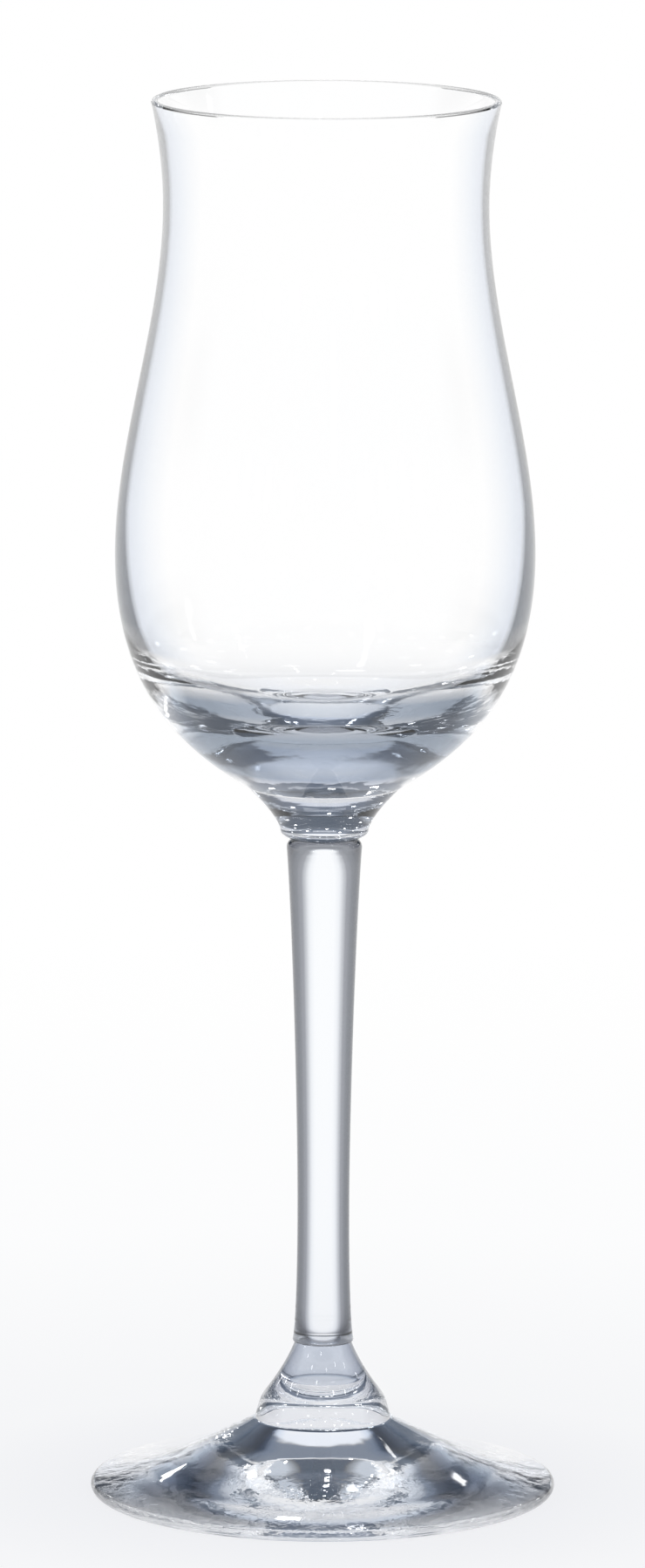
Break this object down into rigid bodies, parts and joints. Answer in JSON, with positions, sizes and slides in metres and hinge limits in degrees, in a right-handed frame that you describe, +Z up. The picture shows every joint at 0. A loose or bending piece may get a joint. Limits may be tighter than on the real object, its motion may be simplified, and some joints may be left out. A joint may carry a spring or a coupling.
{
  "type": "digestif glass",
  "caption": "Clear tulip-shaped digestif glass with a flared lip, thick base, tapered solid stem between two collars and a round hollow-bottomed foot.",
  "frame": {"origin": "centre of the ring that the glass stands on, at table height", "axes": "+Z up along the axis of the glass; X and Y are alike because the glass is round"},
  "size_m": [0.0564, 0.0564, 0.17],
  "materials": {
    "foot_glass": "clear, pressed, gloss",
    "collar_glass": "clear, pressed, gloss",
    "stem_glass": "clear, drawn, gloss",
    "bowl_glass": "clear, blown, gloss, fire-polished lip"
  },
  "bodies": {
    "root": {"foot": "foot_glass", "lower_collar": "collar_glass", "stem": "stem_glass", "upper_collar": "collar_glass", "bowl": "bowl_glass"}
  },
  "joints": []
}
